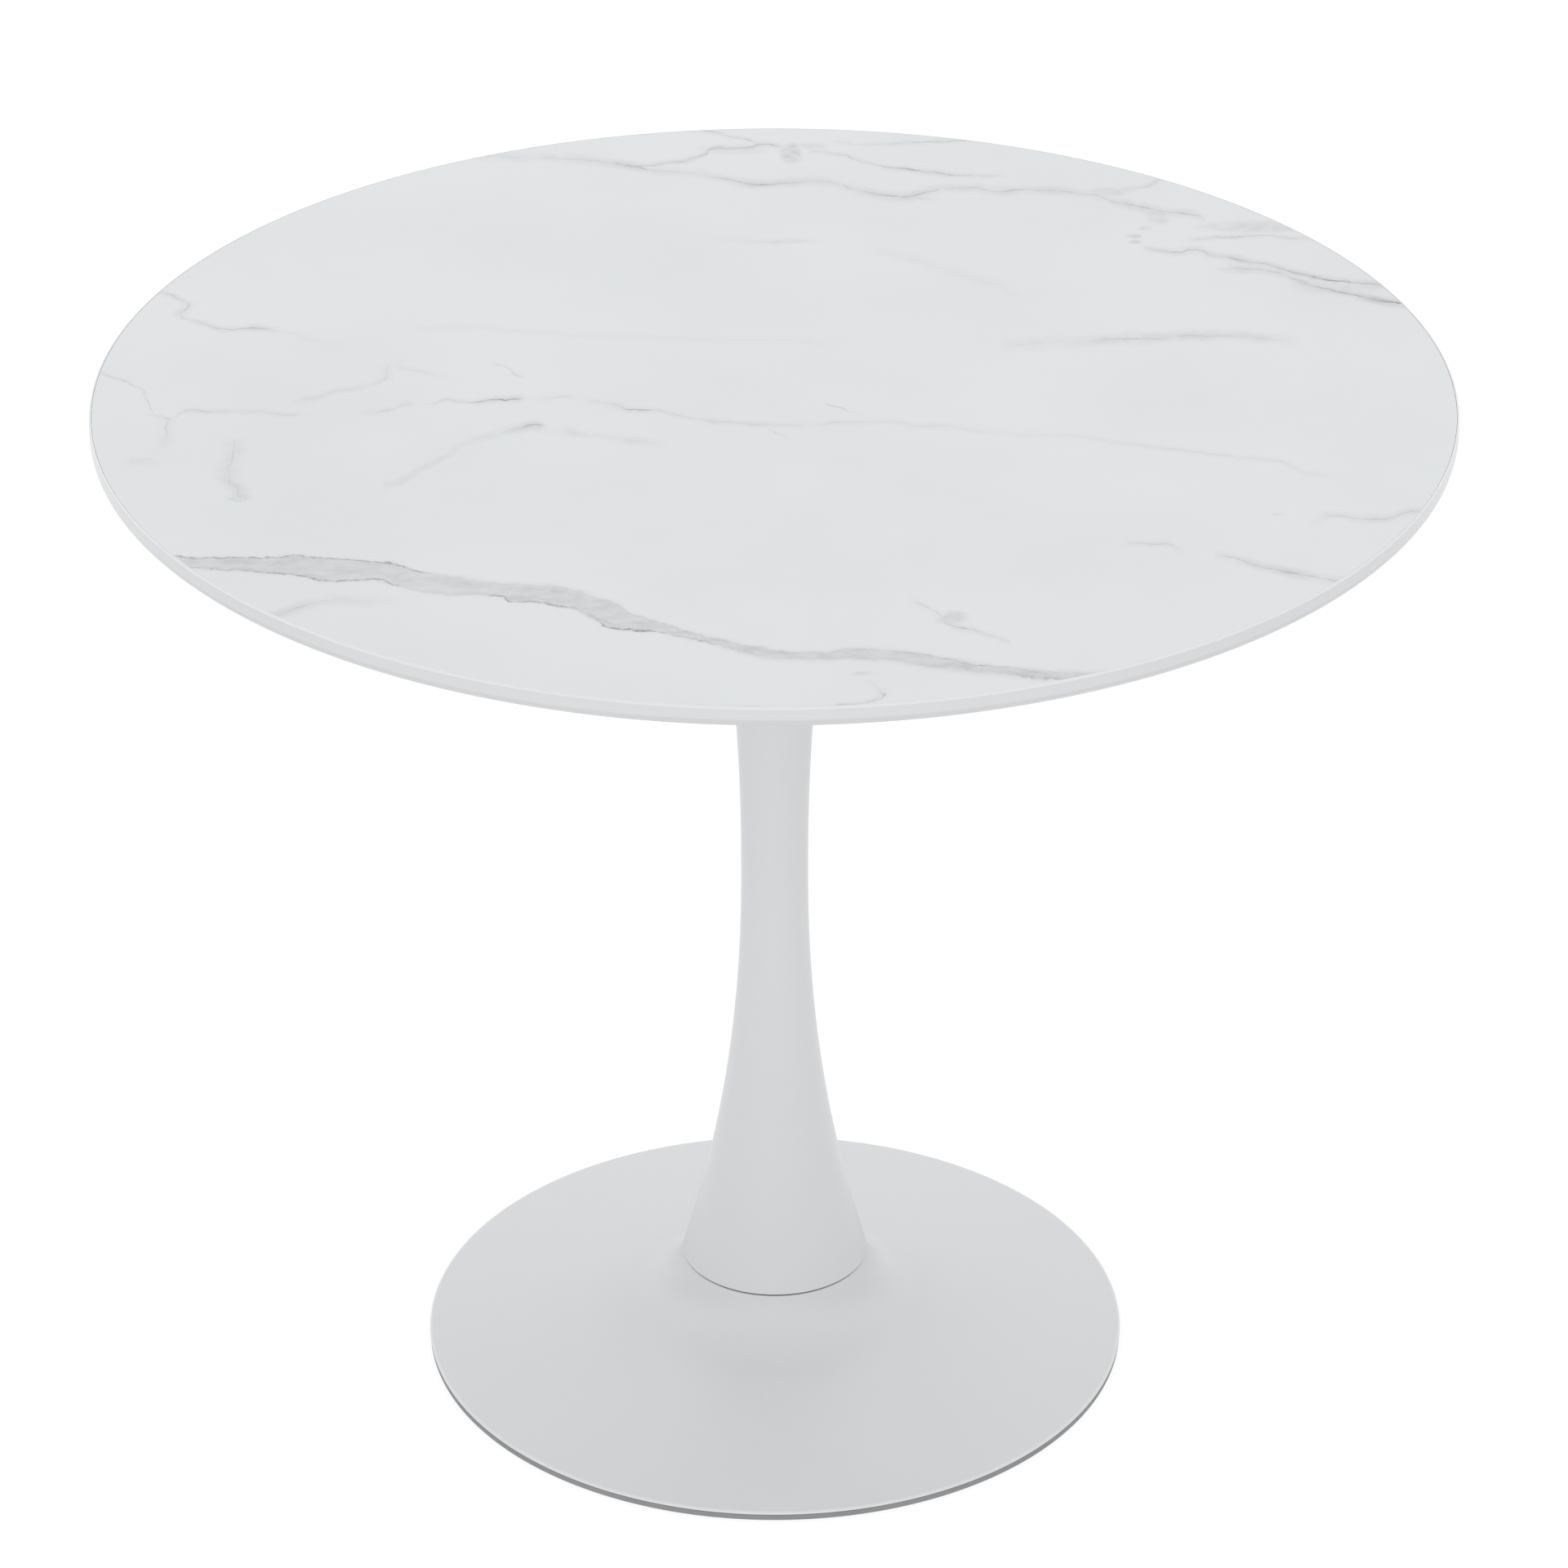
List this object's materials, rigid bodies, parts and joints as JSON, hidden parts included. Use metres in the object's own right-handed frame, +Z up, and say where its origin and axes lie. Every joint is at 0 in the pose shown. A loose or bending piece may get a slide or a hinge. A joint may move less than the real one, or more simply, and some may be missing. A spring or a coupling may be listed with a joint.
{
  "type": "round pedestal table",
  "caption": "Round dining table with a white marble-print top, a slim flared steel column and a trumpet-shaped base.",
  "frame": {"origin": "on the floor, at the centre of the base and on the column's axis", "axes": "+Z up along the column's axis; the table is round, so +X and +Y are free, and the bolt circles are set between them"},
  "size_m": [0.9, 0.9, 0.73],
  "materials": {
    "lacquered_board": "satin",
    "marble_print": "satin",
    "white_backing": "matte",
    "powder_coat": "satin",
    "zinc_plate": "satin",
    "cast_iron": "matte",
    "grey_rubber": "matte"
  },
  "bodies": {
    "root": {"tabletop_board": "lacquered_board", "marble_face_sheet": "marble_print", "backing_sheet": "white_backing", "insert_nut_1": "zinc_plate", "insert_nut_2": "zinc_plate", "insert_nut_3": "zinc_plate", "insert_nut_4": "zinc_plate", "insert_nut_5": "zinc_plate", "insert_nut_6": "zinc_plate", "mounting_plate": "powder_coat", "plate_bolt_1": "zinc_plate", "plate_bolt_2": "zinc_plate", "plate_bolt_3": "zinc_plate", "plate_bolt_4": "zinc_plate", "plate_bolt_5": "zinc_plate", "plate_bolt_6": "zinc_plate", "column_shell": "powder_coat", "column_foot_flange": "powder_coat", "base_shell": "powder_coat", "base_clamp_plate": "zinc_plate", "foot_bolt_1": "zinc_plate", "foot_bolt_2": "zinc_plate", "foot_bolt_3": "zinc_plate", "foot_bolt_4": "zinc_plate", "foot_washer_1": "zinc_plate", "foot_washer_2": "zinc_plate", "foot_washer_3": "zinc_plate", "foot_washer_4": "zinc_plate", "foot_spring_washer_1": "zinc_plate", "foot_spring_washer_2": "zinc_plate", "foot_spring_washer_3": "zinc_plate", "foot_spring_washer_4": "zinc_plate", "ballast_ring": "cast_iron", "ballast_stud_1": "zinc_plate", "ballast_stud_2": "zinc_plate", "ballast_stud_3": "zinc_plate", "ballast_stud_4": "zinc_plate", "ballast_nut_1": "zinc_plate", "ballast_nut_2": "zinc_plate", "ballast_nut_3": "zinc_plate", "ballast_nut_4": "zinc_plate", "edge_trim": "grey_rubber"}
  },
  "joints": []
}
